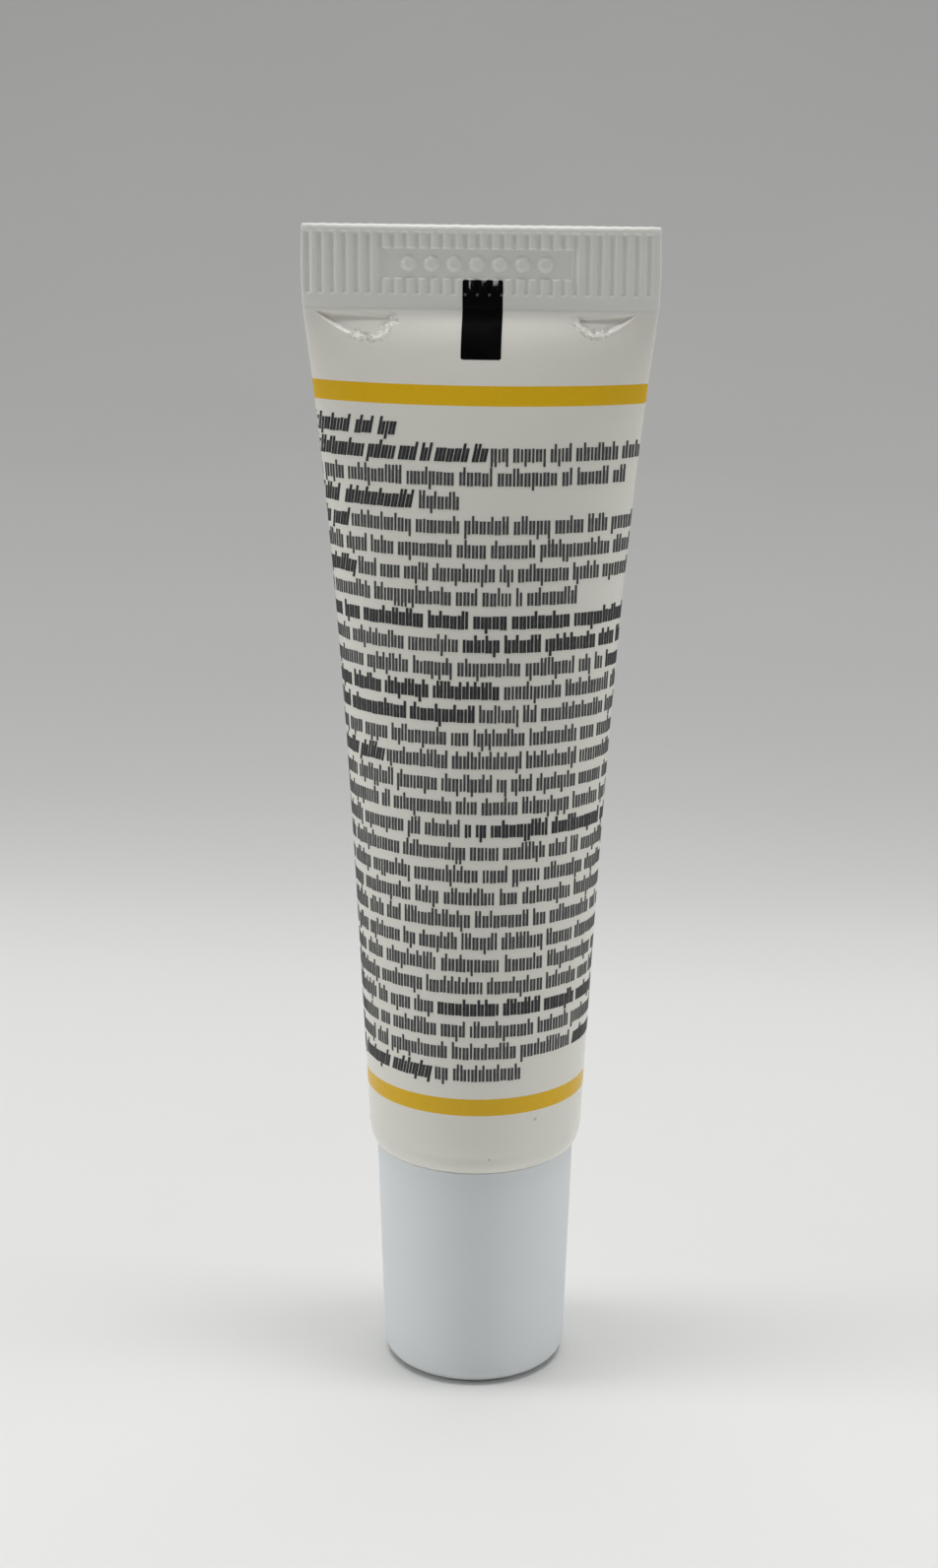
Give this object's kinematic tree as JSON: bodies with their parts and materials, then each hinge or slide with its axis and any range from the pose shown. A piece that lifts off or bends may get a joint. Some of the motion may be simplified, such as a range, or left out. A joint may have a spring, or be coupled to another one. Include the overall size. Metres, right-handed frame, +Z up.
{
  "type": "squeeze tube with screw cap",
  "caption": "Small plastic squeeze tube with a flat ribbed crimp, standing on its screw cap, which holds a thin skin fluid and unscrews from a threaded neck.",
  "frame": {"origin": "centre of the cap's flat end, on which the tube stands", "axes": "+Z up along the tube's axis towards the crimp, X along the width of the crimp, -Y the printed face that the picture shows"},
  "size_m": [0.0302, 0.019, 0.1028],
  "materials": {
    "cap_plastic": "matte cool white moulded polypropylene with a very fine grain",
    "liner_foam": "white foamed polyethylene sheet",
    "seal_foil": "thin aluminium laminate, lightly creased",
    "head_plastic": "natural white moulded polyethylene",
    "sleeve_plastic": "warm white satin polyethylene film with golden yellow bands and charcoal print",
    "serum": "pale cream fluid, glossy"
  },
  "bodies": {
    "cap": {"screw_cap": "cap_plastic"},
    "liner": {"cap_liner": "liner_foam"},
    "tube": {"tube_sleeve": "sleeve_plastic", "tube_head": "head_plastic", "foil_seal": "seal_foil", "serum_fill": "serum"}
  },
  "joints": [
    {"name": "tube_turn", "type": "hinge", "parent": "cap", "child": "liner", "pos_m": [0, 0, 0.0119], "axis": [0, 0, 1], "range_deg": [0, 1270]},
    {"name": "tube_rise", "type": "slide", "parent": "liner", "child": "tube", "axis": [0, 0, 1], "range_m": [0, 0.0105]}
  ],
  "couplings": [
    {"joint": "tube_turn", "follows": "tube_rise", "rad_per_m": 2094.4}
  ]
}
